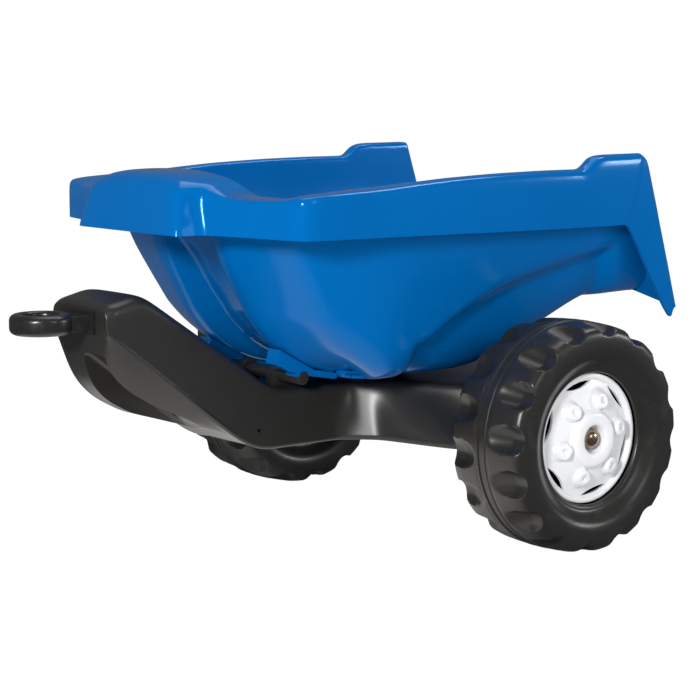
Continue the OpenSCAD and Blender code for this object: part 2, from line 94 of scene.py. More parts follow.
def join(first, *others):
    """Joins pieces into the first one."""
    pick(first)
    for piece in others:
        piece.select_set(True)
    bpy.ops.object.join()
    return first


def set_points(piece, name, points):
    """Names a new mesh and moves its points to places in millimetres."""
    piece.name = piece.data.name = name
    spots = [value for point in points for value in place(*point)]
    piece.data.vertices.foreach_set("co", spots)
    piece.data.update()


def skin(name, rows):
    """A grid mesh whose points are the given rows of points in millimetres."""
    bpy.ops.object.select_all(action="DESELECT")
    bpy.ops.mesh.primitive_grid_add(x_subdivisions=len(rows[0]) - 1, y_subdivisions=len(rows) - 1)
    piece = bpy.context.object
    set_points(piece, name, [point for row in rows for point in row])
    return piece


def slab(name, outline, low, high):
    """A plate along X from low to high, with an outline of (y, z) points, in millimetres."""
    bpy.ops.object.select_all(action="DESELECT")
    bpy.ops.mesh.primitive_circle_add(vertices=len(outline), fill_type="NGON")
    piece = bpy.context.object
    set_points(piece, name, [(low, y, z) for y, z in outline])
    thickness = (high - low) / 1000
    edit(piece, bpy.ops.mesh.extrude_region_move, TRANSFORM_OT_translate={"value": (thickness, 0, 0)})
    edit(piece, bpy.ops.mesh.normals_make_consistent)
    return piece


def pair(name, outline, near, far):
    """Two like plates, one on each side of the middle."""
    return [slab(name, outline, -far, -near), slab(name, outline, near, far)]


def arc(y, z, r, turns):
    """Points of a circle round (y, z), at turns in degrees."""
    angles = [math.radians(turn) for turn in turns]
    return [(y + r * math.cos(angle), z + r * math.sin(angle)) for angle in angles]


def step(value, low, high):
    """Smooth step from 0 at low to 1 at high."""
    t = min(max((value - low) / (high - low), 0), 1)
    return t * t * (3 - 2 * t)


def curve(value, points):
    """Straight lines between (value, result) points."""
    for (a, p), (b, q) in zip(points, points[1:]):
        if value <= b:
            return p + (q - p) * max((value - a) / (b - a), 0)
    return points[-1][1]


class Wire:
    """A shader output that can be added and multiplied like a number."""

    def __init__(self, nodes, socket):
        self.nodes = nodes
        self.socket = socket

    def with_math(self, operation, other):
        return self.nodes.node("ShaderNodeMath", [self, other], operation=operation)

    def __add__(self, other):
        return self.with_math("ADD", other)

    def __mul__(self, other):
        return self.with_math("MULTIPLY", other)

    __radd__ = __add__
    __rmul__ = __mul__

    def between(self, low, high):
        return self.nodes.node("ShaderNodeMapRange", [self, low, high], interpolation_type="SMOOTHSTEP")


class Nodes:
    """A node tree, and the one way in which nodes are added to it."""

    def __init__(self, tree):
        self.tree = tree

    def node(self, kind, inputs=(), output=0, **settings):
        made = self.tree.nodes.new(kind)
        for setting, value in settings.items():
            setattr(made, setting, value)
        named = inputs.items() if isinstance(inputs, dict) else enumerate(inputs)
        for socket, value in named:
            if isinstance(value, Wire):
                self.tree.links.new(value.socket, made.inputs[socket])
            else:
                made.inputs[socket].default_value = value
        return Wire(self, made.outputs[output])

    def light_path(self, ray):
        return self.node("ShaderNodeLightPath", output=ray)

    def mix(self, factor, first, second):
        return self.node("ShaderNodeMixShader", [factor, first, second])

    def show(self, shader, output):
        self.tree.links.new(shader.socket, self.tree.nodes[output].inputs["Surface"])


class Finish(Nodes):
    """One material, with the shader that its patterns are wired to. Its sizes are in metres."""

    def __init__(self, slot, **constants):
        self.slot = slot
        self.material = bpy.data.materials.new(slot + "_finish")
        self.material.use_nodes = True
        super().__init__(self.material.node_tree)
        self.shader = self.tree.nodes["Principled BSDF"]
        for socket, value in constants.items():
            self.shader.inputs[socket.replace("_", " ")].default_value = value
        self.place = self.node("ShaderNodeTexCoord", output="Object")

    def noise(self, size, detail=2.0, stretch=(1, 1, 1)):
        spread = self.node("ShaderNodeMapping", {"Vector": self.place, "Scale": stretch})
        return self.node("ShaderNodeTexNoise", {"Vector": spread, "Scale": 1 / size, "Detail": detail})

    def tint(self, amount, first, second):
        sockets = {0: amount, 6: (*first, 1), 7: (*second, 1)}
        return self.node("ShaderNodeMix", sockets, output=2, data_type="RGBA")

    def set(self, socket, wire):
        self.tree.links.new(wire.socket, self.shader.inputs[socket])

    def relief(self, height):
        """Bump from a height in millimetres."""
        sockets = {"Height": height, "Distance": 0.001, "Strength": 1.0}
        self.set("Normal", self.node("ShaderNodeBump", sockets))


def dress(piece, finish, body, *nodes, angle=40):
    """Smooth shading, material, body and the CAD nodes that a piece stands for."""
    pick(piece)
    bpy.ops.object.shade_smooth_by_angle(angle=math.radians(angle))
    piece.data.materials.clear()
    piece.data.materials.append(finish.material)
    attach(piece, body)
    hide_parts(*nodes)


black_plastic = Finish("black_plastic", IOR=1.5)
cloud = black_plastic.noise(0.07)
grain = black_plastic.noise(0.0007, 3)
wave = black_plastic.noise(0.03, 1)
scuff = black_plastic.noise(0.004, 4, (1, 0.15, 1)).between(0.64, 0.8)
black_plastic.set("Base Color", black_plastic.tint(cloud, (0.016, 0.0152, 0.014), (0.021, 0.02, 0.0185)))
black_plastic.set("Roughness", cloud * 0.08 + grain * 0.08 + scuff * 0.08 + 0.25)
black_plastic.relief(wave * 0.05 + grain * 0.01)

# Heights and half widths along the frame, each as (y, value)
TOP = [(-347, 115), (-343, 118), (-330, 121), (-318, 124), (-311, 123), (-304, 119), (-195, 45),
       (-188, 41), (-180, 38.5), (-170, 37), (60, 37)]
KEEL = [(-347, 94), (-345, 74), (-340, 57), (-332, 44.5), (-320, 35), (-300, 24.5), (-280, 18.5),
        (-257, 11.5), (-229, 3.2), (-212, -6), (-200, -10.4), (-190, -11), (60, -11)]
HALF_TOP = [(-347, 39), (-340, 42), (-107, 42), (-82, 66), (-65, 94), (-48, 120), (-33, 142),
            (-22, 145), (60, 145)]
HALF_LOW = [(-347, 41), (-340, 42), (-119, 42), (-94, 67), (-84, 104), (-75, 139), (-66, 145), (60, 145)]
NOSE = -347
REAR = 60
BEAM_LOW = -11
AXLE_BOSS_R = 13
CREASE_FRONT = 96
CREASE_SLOPE = 0.7754
EDGE_R = 7
BEAD = 3.5
LEDGE = 1.6
LEDGE_RUN = (225, 262)
KEEL_FLAT = 22
CROWN_POWER = 1.6
STATIONS = [NOSE, -345.5, -343, -339, -334, -328, -321, -314, -308, -300, -290, -280, -268, -256, -244,
            -232, -222, -212, -204, -196, -188, -180, -170, -150, -132, -120, -112, -106, -100, -94, -89,
            -84, -79, -74, -68, -62, -55, -48, -40, -33, -26, -16, -13, -7, 0, 7, 13, 16, 30, 45, 55,
            58.5, REAR]


def crease(y):
    """Height of the moulding's parting edge, which falls from the nose to the beam."""
    return max(CREASE_FRONT - CREASE_SLOPE * (y - NOSE), BEAM_LOW)


def keel_height(y):
    """Height of the middle of the underside, with a round boss under the axle."""
    if abs(y) > AXLE_BOSS_R + 1:
        return curve(y, KEEL)
    return min(BEAM_LOW, -math.sqrt(max(AXLE_BOSS_R ** 2 - y * y, 0)))


def frame_section(y):
    """Half section of the frame at y, from the middle of the top round to the middle of the underside."""
    top = curve(y, TOP)
    keel = keel_height(y)
    wide = curve(y, HALF_TOP)
    low = curve(y, HALF_LOW)
    fold = max(crease(y), keel + 0.5)
    high = top - fold
    r = min(EDGE_R, high * 0.3)
    bead = min(BEAD, high * 0.15)
    ledge = LEDGE * step(-y, *LEDGE_RUN)
    side_top = top - r * 1.1
    side_low = fold + 2.6
    side_in = low - ledge
    points = [(0, top + 0.4), (wide * 0.45, top + 0.3), (wide - r * 1.6, top)]
    points += [(wide - r * 0.4, top - r * 0.25), (wide, side_top)]
    for t in (0.35, 0.7, 0.96, 1):
        points.append((wide + (side_in - wide) * t, side_top + (side_low - side_top) * t))
    points += [(low - ledge * 0.25, fold + 2), (low, fold + 0.6), (low - bead * 0.3, fold - bead * 0.6)]
    rail = low - bead * 1.3
    for t in (1, 0.92, 0.82, 0.7, 0.5, 0.25, 0):
        rise = max(rail * t - KEEL_FLAT, 0) / (low - KEEL_FLAT)
        points.append((rail * t, keel + (fold - keel) * rise ** CROWN_POWER))
    return [(x, y, z) for x, z in points]


def closing(section, y, share):
    """A section drawn in towards its middle, to close an end of the frame."""
    middle = (section[0][2] + section[-1][2]) / 2
    return [(x * share, y, middle + (z - middle) * share) for x, _, z in section]


sections = [frame_section(y) for y in STATIONS]
nose_cap = [closing(sections[0], NOSE - 0.3, share) for share in (0, 0.6, 0.96)]
rear_cap = [closing(sections[-1], REAR + 0.2, share) for share in (0.97, 0.6, 0)]
drawbar = skin("chassis_frame_moulding", nose_cap + sections + rear_cap)
edit(drawbar, bpy.ops.mesh.remove_doubles, threshold=0.00005)
shape(drawbar, "MIRROR", use_clip=True, merge_threshold=0.0002)
edit(drawbar, bpy.ops.mesh.remove_doubles, threshold=0.00005)
edit(drawbar, bpy.ops.mesh.normals_make_consistent)
shape(drawbar, "SUBSURF", levels=2, render_levels=2)

BELLY_SLOT = [(-356, 20), (-356, 77), (-342, 78.5), (-338, 77), (-252, 12), (-246, 2), (-300, -10)]
BELLY_SLOT_X = (2, 31)
VENT_Y = -203
VENT_Z = 5
VENT_R = 1.75
VENT_X = (36, 46)
FULL_TURN = range(0, 360, 15)
UPPER_HALF = range(15, 180, 15)
LOWER_HALF = range(195, 360, 15)
belly_slot = slab("belly_slot", BELLY_SLOT, *BELLY_SLOT_X)
shape(belly_slot, "BEVEL", width=0.004, segments=4, limit_method="ANGLE")
cut(drawbar, belly_slot)
cut(drawbar, slab("vent", arc(VENT_Y, VENT_Z, VENT_R, FULL_TURN), *VENT_X))

PIVOT_Y = 40
PIVOT_Z = 55
EAR_R = 10
EAR_FOOT = 34
EAR_X = (58, 68)
BAR_Y = -168
BAR_Z = 46.5
SADDLE_R = 8.5
SADDLE_FOOT = 35
SADDLE_X = (16, 26)


def post(y, z, r, foot):
    """Outline of a plate with a round top, which stands in the deck."""
    return [(y + r, foot), (y + r, z), *arc(y, z, r, UPPER_HALF), (y - r, z), (y - r, foot)]


stands = pair("ear", post(PIVOT_Y, PIVOT_Z, EAR_R, EAR_FOOT), *EAR_X)
stands += pair("saddle", post(BAR_Y, BAR_Z, SADDLE_R, SADDLE_FOOT), *SADDLE_X)
for stand in stands:
    break_edges(stand)
join(drawbar, *stands)
dress(drawbar, black_plastic, "frame", "chassis_frame")


# Axle and its fittings
# A zinc-plated steel bar in black bushes, with a steel spacer inside each wheel and a washer outside it.
# They keep their CAD shape, with broken edges and their own finish.
def turned_part(finish, *names):
    """Gives CAD nodes a finish, and a small bevel on every edge."""
    for name in names:
        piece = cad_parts[name]
        piece.data.materials.clear()
        piece.data.materials.append(finish.material)
        weld = piece.modifiers.new("weld", "WELD")
        weld.merge_threshold = 0.00002
        flat = piece.modifiers.new("flat", "DECIMATE")
        flat.decimate_type = "DISSOLVE"
        flat.angle_limit = math.radians(1)
        edge = piece.modifiers.new("edge", "BEVEL")
        edge.width = 0.0006
        edge.segments = 2
        edge.limit_method = "ANGLE"
        edge.angle_limit = math.radians(35)


zinc_steel = Finish("zinc_steel", Metallic=1.0)
spangle = zinc_steel.noise(0.004, 4)
brush = zinc_steel.noise(0.0012, 3, (0.1, 1, 1))
zinc_steel.set("Base Color", zinc_steel.tint(spangle, (0.46, 0.47, 0.49), (0.62, 0.63, 0.64)))
zinc_steel.set("Roughness", spangle * 0.14 + brush * 0.14 + 0.2)
zinc_steel.relief(brush * 0.01)

turned_part(zinc_steel, "axle", "spacer_left", "spacer_right", "end_washer_left", "end_washer_right")
turned_part(black_plastic, "axle_bush_left", "axle_bush_right")


# Tyres
# Hollow black mouldings with scooped pockets along both shoulders and a double seam round the tread.
# Each is a profile swept round the wheel, pressed in where a pocket is, and sits round its rim.
tyre_black = Finish("tyre_black", IOR=1.5)
cloud = tyre_black.noise(0.05)
grain = tyre_black.noise(0.0006, 3)
dust = tyre_black.noise(0.012, 5).between(0.5, 0.8)
tyre_black.set("Base Color", tyre_black.tint(dust, (0.016, 0.015, 0.0138), (0.022, 0.0208, 0.0192)))
tyre_black.set("Roughness", cloud * 0.08 + grain * 0.07 + dust * 0.08 + 0.25)
tyre_black.relief(grain * 0.012 + cloud * 0.04)

SIDES = ((1, "left"), (-1, "right"))
WHEEL_X = 190
TREAD_R = 95
POCKETS = 16
POCKET_STEPS = 24
POCKET_BALL = 12.4
POCKET_DEPTH = 11
POCKET_START = 7
POCKET_RUN = 21
POCKET_SHIFT = 0.25
POCKET_ROUND = 0.9
# Half of the profile as (x from the tyre's middle, radius), from the bead to the seam
TYRE_HALF = [(27.6, 54.2), (29.4, 54.4), (30.8, 55.4), (31.3, 57), (31.6, 59), (33.2, 61.8), (35.6, 64.8),
             (37.9, 67.8), (39.2, 70.8), (39.8, 73.8), (40, 77), (40, 80), (39.9, 83), (39.6, 85.8),
             (38.9, 88.2), (37.6, 90.2), (35.6, 91.6), (33, 92.5), (30, 93.1), (27, 93.6), (24, 93.9),
             (21, 94.1), (18, 94.3), (15, 94.5), (12, 94.6), (9, 94.7), (6.5, 94.4), (5, 94.4), (4.4, 95),
             (3.6, 95), (3, 94), (0.8, 94)]


def swept(name, hand, steps, profile):
    """A skin round the axle. The profile gives its (x, radius) points at an angle."""
    rows = []
    for i in range(steps + 1):
        angle = 2 * math.pi * i / steps
        rows.append([(hand * x, r * math.sin(angle), r * math.cos(angle)) for x, r in profile(angle)])
    piece = skin(name, rows)
    edit(piece, bpy.ops.mesh.remove_doubles, threshold=0.00002)
    return piece


def smooth_min(a, b, r):
    """The smaller of two values, rounded off over about r."""
    t = max(r - abs(a - b), 0) / r
    return min(a, b) - t * t * r / 4


def scoop(x, turn):
    """Radius of the floor of the nearest pocket, at x across the tread, with turn counted in pockets."""
    along = min(max((abs(x) - POCKET_START) / POCKET_RUN, 0), 1)
    off = (turn - round(turn)) * 2 * math.pi * TREAD_R / POCKETS
    middle = TREAD_R + 0.4 + POCKET_BALL - POCKET_DEPTH * along ** 0.8
    return middle - math.sqrt(max(POCKET_BALL ** 2 - off * off, 0))


halfway = [((a + c) / 2, (b + d) / 2) for (a, b), (c, d) in zip(TYRE_HALF, TYRE_HALF[1:])]
outer_half = [point for two in zip(TYRE_HALF, halfway) for point in two] + TYRE_HALF[-1:]
section = [(x, r, -POCKET_SHIFT) for x, r in outer_half]
section += [(-x, r, POCKET_SHIFT) for x, r in reversed(outer_half)]


def tyre_profile(angle):
    turn = angle * POCKETS / (2 * math.pi)
    return [(WHEEL_X + x, smooth_min(r, scoop(x, turn + shift), POCKET_ROUND)) for x, r, shift in section]


for hand, name in SIDES:
    tyre = swept(f"tyre_{name}_moulding", hand, POCKETS * POCKET_STEPS, tyre_profile)
    edit(tyre, bpy.ops.mesh.normals_make_consistent)
    dress(tyre, tyre_black, f"wheel_{name}", f"tyre_{name}")


# Rims
# White mouldings with a flat lip, a plate that bows out to a raised nave, six bosses and six slots.
# Each is a profile swept round the axle with the bosses pushed out, then given a wall and cut through.
# A black disc closes each rim on its inner side, round a nylon bush that turns on the axle.
white_plastic = Finish("white_plastic", IOR=1.5)
cloud = white_plastic.noise(0.04)
grain = white_plastic.noise(0.0008, 3)
white_plastic.set("Base Color", white_plastic.tint(cloud, (0.72, 0.725, 0.74), (0.77, 0.773, 0.785)))
white_plastic.set("Roughness", cloud * 0.08 + grain * 0.06 + 0.22)
white_plastic.relief(grain * 0.006)

natural_nylon = Finish("natural_nylon", IOR=1.5)
cloud = natural_nylon.noise(0.01)
grain = natural_nylon.noise(0.0005, 3)
natural_nylon.set("Base Color", natural_nylon.tint(cloud, (0.66, 0.62, 0.53), (0.74, 0.71, 0.62)))
natural_nylon.set("Roughness", cloud * 0.1 + grain * 0.1 + 0.3)
natural_nylon.relief(grain * 0.008)

RIM_FACE = 216.5
RIM_STEPS = 192
BOSSES = 6
BOSS_CIRCLE = 33
BOSS_TURN = 18
BOSS_HIGH = 5.2
BOSS_EDGE = (6.2, 8.6)
DIMPLE = 1.6
DIMPLE_EDGE = (1.4, 3)
SLOT_HALF = 14.4
SLOT_OUTER_R = 47.3
SLOT_INNER_R = 42.5
# The plate as (radius, distance out from the rim's face)
RIM = [(9.4, 0.5), (10.2, 0.5), (10.7, 3), (11.5, 6.4), (12.6, 8.3), (14.2, 9), (20, 8.8), (21.6, 8.3),
       (22.8, 7), (24, 4.4), (25.5, 3.6), (36, 1), (48, -3.2), (48.8, -2.4), (49.4, -0.4), (50.2, 0.2),
       (52.8, 0), (53.5, -0.9), (53.6, -5)]
radii = sorted([r for r, _ in RIM] + [26.7 + 1.2 * i for i in range(18)])


def boss(r, angle):
    """How far the nearest boss, with a dimple in its top, stands out of the plate."""
    pitch = 2 * math.pi / BOSSES
    turn = (angle - math.radians(BOSS_TURN)) / pitch
    off = (turn - round(turn)) * pitch
    away = math.hypot(r * math.cos(off) - BOSS_CIRCLE, r * math.sin(off))
    return BOSS_HIGH * (1 - step(away, *BOSS_EDGE)) - DIMPLE * (1 - step(away, *DIMPLE_EDGE))


def rim_profile(angle):
    return [(RIM_FACE + curve(r, RIM) + boss(r, angle), r) for r in radii]


def rim_slot(hand, number):
    """A lens-shaped cutter between two bosses."""
    angle = math.radians(BOSS_TURN + (number + 0.5) * 360 / BOSSES)
    across = [SLOT_HALF * math.sin(math.radians(a)) for a in range(-90, 91, 15)]
    lens = [(t, math.sqrt(SLOT_OUTER_R ** 2 - t * t)) for t in across]
    lens += [(t, 2 * SLOT_INNER_R - math.sqrt(SLOT_INNER_R ** 2 - t * t)) for t in reversed(across[1:-1])]
    sine = math.sin(angle)
    cosine = math.cos(angle)
    turned = [(t * cosine + r * sine, r * cosine - t * sine) for t, r in lens]
    return slab("rim_slot", turned, *sorted((hand * (RIM_FACE - 12), hand * (RIM_FACE + 4))))


for hand, name in SIDES:
    rim = swept(f"rim_{name}_moulding", hand, RIM_STEPS, rim_profile)
    edit(rim, bpy.ops.mesh.normals_make_consistent)
    if rim.data.polygons[0].normal.x * hand < 0:
        edit(rim, bpy.ops.mesh.flip_normals)
    shape(rim, "SOLIDIFY", thickness=0.0024, offset=-1)
    cut(rim, join(*[rim_slot(hand, number) for number in range(BOSSES)]))
    dress(rim, white_plastic, f"wheel_{name}", f"rim_{name}", angle=50)
    turned_part(black_plastic, f"inner_disc_{name}")
    turned_part(natural_nylon, f"hub_bush_{name}")


# Axle caps
# Pressed metal domes that are knocked on to the ends of the axle, in the recess of each nave.
# Each is a dome swept round the axle and given a thin wall.
cap_metal = Finish("cap_metal", Metallic=1.0)
spangle = cap_metal.noise(0.003, 4)
brush = cap_metal.noise(0.0008, 3)
cap_metal.set("Base Color", cap_metal.tint(spangle, (0.36, 0.25, 0.16), (0.56, 0.46, 0.36)))
cap_metal.set("Roughness", spangle * 0.12 + brush * 0.1 + 0.14)
cap_metal.relief(brush * 0.02 + spangle * 0.05)

# The dome as (x, radius), from its top to its skirt
DOME = [(223.9, 0), (223.8, 2.4), (223.1, 4.7), (221.5, 6.8), (219, 8.3), (215.8, 9), (212, 9.1), (205, 9.1)]
DOME_STEPS = 48


def dome_profile(angle):
    return DOME


for hand, name in SIDES:
    cap = swept(f"axle_cap_{name}_dome", hand, DOME_STEPS, dome_profile)
    shape(cap, "SOLIDIFY", thickness=0.0008, offset=0)
    edit(cap, bpy.ops.mesh.normals_make_consistent)
    dress(cap, cap_metal, "frame", f"axle_cap_{name}")


# Tub
# One glossy blue moulding: a thin sheet from the floor up the walls, over the rim and down the band.
# Half of the sheet is laid out as three grids, mirrored, smoothed and thickened outwards.
# Feet that stand over the rest bar and lugs that hang on the rod are joined to its underside.
blue_plastic = Finish("blue_plastic", IOR=1.5, Specular_IOR_Level=0.3, Specular_Tint=(0.2, 0.5, 1, 1))
cloud = blue_plastic.noise(0.11)
grain = blue_plastic.noise(0.0011, 3)
wave = blue_plastic.noise(0.035, 1)
scuff = blue_plastic.noise(0.0035, 4, (1, 0.12, 1)).between(0.66, 0.8)
blue_plastic.set("Base Color", blue_plastic.tint(cloud, (0.0, 0.099, 0.332), (0.0, 0.113, 0.366)))
blue_plastic.set("Roughness", cloud * 0.05 + grain * 0.04 + scuff * 0.05 + 0.08)
blue_plastic.relief(wave * 0.05 + grain * 0.006)

FLOOR = 47
FLOOR_RISE = 2
FLOOR_RISE_RUN = (25, 105)
FLOOR_BEND = 22
FLOOR_BEND_FRONT = 26.6
RAMP_START = -15
RAMP_END = 98
RAMP_SLOPE = math.tan(math.radians(27))
RAMP_ROUND = 14
BAND_LOW = 171
WALL_HALF = 114.9
WALL_BASE = 44
WALL_LEAN = 0.2717
UPPER_LEAN = 0.02
FRONT_Y = -246.5
FRONT_LEAN = 0.574
FRONT_BEND = 164
FRONT_FLAT = 50
CHANNEL_HALF = 28
CHANNEL_DEPTH = 17
CHANNEL_FLARE = 5
CHANNEL_FLARE_RUN = (-140, -90)
CHANNEL_TOP = (150, 185)
CORNER_X = 119
CORNER_TOP = 161
CORNER_LEAN = 0.176
CORNER_CUT = 22
BEND_END = -128
BEND_BOW = 5
TAIL_Y = 164
TAIL_LEAN = 43
TAIL_LOW = 90
TAIL_TOP = 226
TAIL_RISE = 11.4
TAIL_RISE_RUN = (46, 64)
HOOD_Y = -304.5
HOOD_LOW = 199.5
HOOD_RISE = 18.5
HOOD_HALF = 78
RECESS = 11
RECESS_FRONT = (-107, -99)
RECESS_REAR = (-103, -97)
SWELL_EDGE = 2.5
SWELL_HIGH = 28
# Heights along the tub's side, as (y, z): the rim, and the swell over the wheel
RIM_LINE = [(-245, 200), (-214, 203), (-164, 208), (-106, 211.7), (-52, 213.6), (4, 214.2), (48, 213.8)]
ARCH = [(-104, 69), (-92, 80), (-78, 90), (-53, 105), (-25, 118), (1, 126), (41, 135), (68, 141), (102, 147)]


def soft(u, r):
    """Zero below nothing and u above it, with a rounded bend of about r."""
    return (u + math.hypot(u, r)) / 2


def part_way(first, second, share):
    """The point at a share of the way from the first point to the second."""
    return tuple(a + (b - a) * share for a, b in zip(first, second))


def floor_height(y):
    """Height of the floor, which climbs to the tail as a ramp and a little to the front."""
    ramp = RAMP_SLOPE * (soft(y - RAMP_START, RAMP_ROUND) - soft(y - RAMP_END, RAMP_ROUND))
    return FLOOR + FLOOR_RISE * step(-y, *FLOOR_RISE_RUN) + ramp


def wall_half(z):
    return WALL_HALF + WALL_LEAN * (min(z, BAND_LOW) - WALL_BASE) + UPPER_LEAN * max(z - BAND_LOW, 0)


def front_wall(z):
    return FRONT_Y + FRONT_LEAN * soft(FRONT_BEND - z, 10)


def tail_edge(z):
    return TAIL_Y - TAIL_LEAN * (z - TAIL_LOW) / (TAIL_TOP - TAIL_LOW)


def rim_top(y):
    return curve(y, RIM_LINE) + TAIL_RISE * step(y, *TAIL_RISE_RUN)


def hood_top(x):
    return HOOD_LOW + HOOD_RISE * max(1 - (abs(x) / HOOD_HALF) ** 2.5, 0) ** 0.4


def recess(y):
    """How far the wall below the swell is pressed in, beside the wheel."""
    return RECESS * step(y, *RECESS_FRONT) * step(-y, *RECESS_REAR)


# Columns of the wall sheet, from the tail forward to the middle of the front wall
SIDE_STEPS = (104, 97, 90, 78, 66, 58, 50, 40, 20, 0, -20, -40, -58, -74, -86, -95, -101, -108, -118)
columns = [("tail", back) for back in (0, 3, 12, 28)]
columns += [("side", y) for y in SIDE_STEPS]
columns += [("bend", share) for share in (0.95, 0.75, 0.5, 0.28, 0.12, 0.04)]
columns += [("chamfer", share) for share in (0.95, 0.8, 0.64, 0.48, 0.32, 0.14)]
columns += [("front", x) for x in (FRONT_FLAT, 42, 34)]
columns += [("channel", x) for x in (CHANNEL_HALF, 15, 0)]


def wall_point(column, z, inset):
    """Where a column of the wall sheet is at a height, moved inwards by inset."""
    kind, value = column
    half = wall_half(z) - inset
    front = front_wall(z) + inset
    corner = (CORNER_X - CORNER_LEAN * (CORNER_TOP - z) - inset * 0.8, front + CORNER_CUT)
    if kind == "tail":
        return half, tail_edge(z) - value
    if kind == "side":
        lean = step(value, 10, 150) * (tail_edge(z) - tail_edge(150)) * 0.8
        return half, value + lean
    if kind == "bend":
        x, y = part_way(corner, (half, BEND_END), value)
        return x + BEND_BOW * math.sin(math.pi * value), y
    if kind == "chamfer":
        return part_way((FRONT_FLAT, front), corner, value)
    if kind == "front":
        return value, front
    depth = CHANNEL_DEPTH + CHANNEL_FLARE * step(-z, *CHANNEL_FLARE_RUN)
    return value, front + depth * (1 - step(z, *CHANNEL_TOP))


def top_of(column):
    """Height of the sheet's top at a column: the rim along the sides, the hood at the front."""
    kind, _ = column
    if kind in ("tail", "side"):
        return rim_top(wall_point(column, 215, 0)[1])
    x, y = wall_point(column, 205, 0)
    return rim_top(y) if kind == "bend" else hood_top(x)


def arch_of(column, turned):
    """Height of the swell's ridge at a column."""
    kind, value = column
    if kind == "side":
        return curve(value, ARCH)
    return ARCH[-1][1] if kind == "tail" else 90 + 28 * turned


def wall_column(column):
    """Points of one column, from the rim down to the floor's edge."""
    kind, value = column
    top = top_of(column)
    turned = {"tail": 0, "side": 0, "bend": 1 - value}.get(kind, 1)
    low = floor_height(140 if kind == "tail" else wall_point(column, 60, 0)[1])
    arch = max(arch_of(column, turned), low + SWELL_HIGH)
    edge = low + FLOOR_BEND + FLOOR_BEND_FRONT * turned
    below = arch - SWELL_EDGE
    heights = [top, top - 5, top - 14]
    heights += [top - 14 + (arch + 28 - top) * t for t in (0.4, 0.75)]
    heights += [arch + 12, arch + SWELL_EDGE, below]
    heights += [below + (edge - below) * t for t in (0.3, 0.65)]
    points = []
    for i, z in enumerate(heights + [edge]):
        x, y = wall_point(column, z, 0)
        pressed = recess(value) if kind == "side" and i > 6 else 0
        points.append((x - pressed, y, z))
    # Each row of the bend into the floor as height over it, inset and the channel's lift
    bend = [(9 + 13 * turned, 3.5 + 3.5 * turned, 3), (2.5 + 3 * turned, 10.5 + 16 * turned, 4)]
    bend += [(0, 21 + 31 * turned, 3)]
    for over, inset, lift in bend:
        x, y = wall_point(column, low + over, inset)
        pressed = recess(value) if kind == "side" else 0
        points.append((x - pressed, y, floor_height(y) + over + (lift if kind == "channel" else 0)))
    return points


wall = [wall_column(column) for column in columns]
wall_sheet = skin("tub_moulding", wall)

# Floor between the wall sheet's lower ends
ring = [column[-1] for column in wall]
turn = columns.index(("bend", 0.04))
floor_rows = []
for i in range(turn):
    side = ring[i]
    pull = (i / turn) ** 4
    row = [side]
    for front in ring[turn + 1:]:
        x = front[0] * side[0] / ring[turn][0]
        y = side[1] + (front[1] - ring[turn][1]) * pull
        rise = front[2] - floor_height(front[1])
        row.append((x, y, floor_height(y) + rise * step(-y, 110, 135)))
    floor_rows.append(row)
floor_rows.append(ring[turn:])
floor_sheet = skin("tub_floor", floor_rows)

BAND_HALF = 169.5
BAND_DRAW = 5.5
BAND_FRONT = -253.5
BAND_LENGTH = 416.5
BAND_DROP = 5
BAND_DROP_RUN = (-320, 110)
WING_X = 70
WING_Y = -279
WING_SWEEP = 0.256


def side_band(y):
    """Half width over the bands, which draw in to the tail."""
    return BAND_HALF - BAND_DRAW * max(y - BAND_FRONT, 0) / BAND_LENGTH


def wing(x):
    """Where the band stands in front of the chamfered corner."""
    return WING_Y + WING_SWEEP * (x - WING_X)


# Strip and band: each station runs from the inner edge over the rim to the band's lower edge
OUTER = {("front", 34): (36, HOOD_Y), ("front", 42): (47, HOOD_Y), ("front", FRONT_FLAT): (62, HOOD_Y),
         ("chamfer", 0.14): (70.5, -303), ("chamfer", 0.32): (72, -293), ("chamfer", 0.48): (74, -279),
         ("chamfer", 0.64): (91, wing(91)), ("chamfer", 0.8): (115, wing(115)),
         ("chamfer", 0.95): (141, wing(141)), ("bend", 0.04): (158, wing(158)),
         ("bend", 0.12): (166.6, -251.5), ("bend", 0.28): (169.4, -238)}
HOOD_FRONT = -280
HOOD_LEAN = 0.075
HOOD_BACK = 5.4
HOOD_X = 75
LIP = 4.5
TAIL_HALF = 164
# How far the band's outer edge lies in front of the wall at the tail, and its lower edge there as (y, z)
TAIL_PULL = {0: 9, 3: 7, 12: 4, 28: 2}
CHEEK_BEND = {28: (90, 166.2), 12: (93, 166), 3: (95.5, 165.6), 0: (97.5, 165)}
# The cheek's lower edge down the tail, by row of the wall sheet
CHEEK_Y = [(0, 101.5), (1, 106), (9, 143.8), (11, 152), (13, 154)]
CHEEK_Z = [(0, 161.5), (1, 155), (9, 94.3), (11, 84.2), (13, 83)]
FLANGE_TOP = 219
FLANGE_LOW = 91


def band_station(inner, outer, top, round_r, low):
    """One station: inner edge, strip, rounded outer edge, band face and its free lower edge."""
    rim_z = inner[2]
    length = math.dist(inner[:2], outer)

    def across(from_outer):
        return part_way(inner[:2], outer, 1 - from_outer / length)

    lip = across(length - LIP)
    half = across((length - LIP + round_r) / 2)
    bend = across(round_r)
    knee = across(round_r * 0.28)
    shoulder = (*outer, top - round_r)
    strip = [inner, (*lip, rim_z + 0.6), (*half, (rim_z + top) / 2 + 0.6)]
    edge = [(*bend, top), (*knee, top - round_r * 0.28), shoulder]
    return strip + edge + [part_way(shoulder, low, 0.5), part_way(low, (*outer, top), 0.15), low]


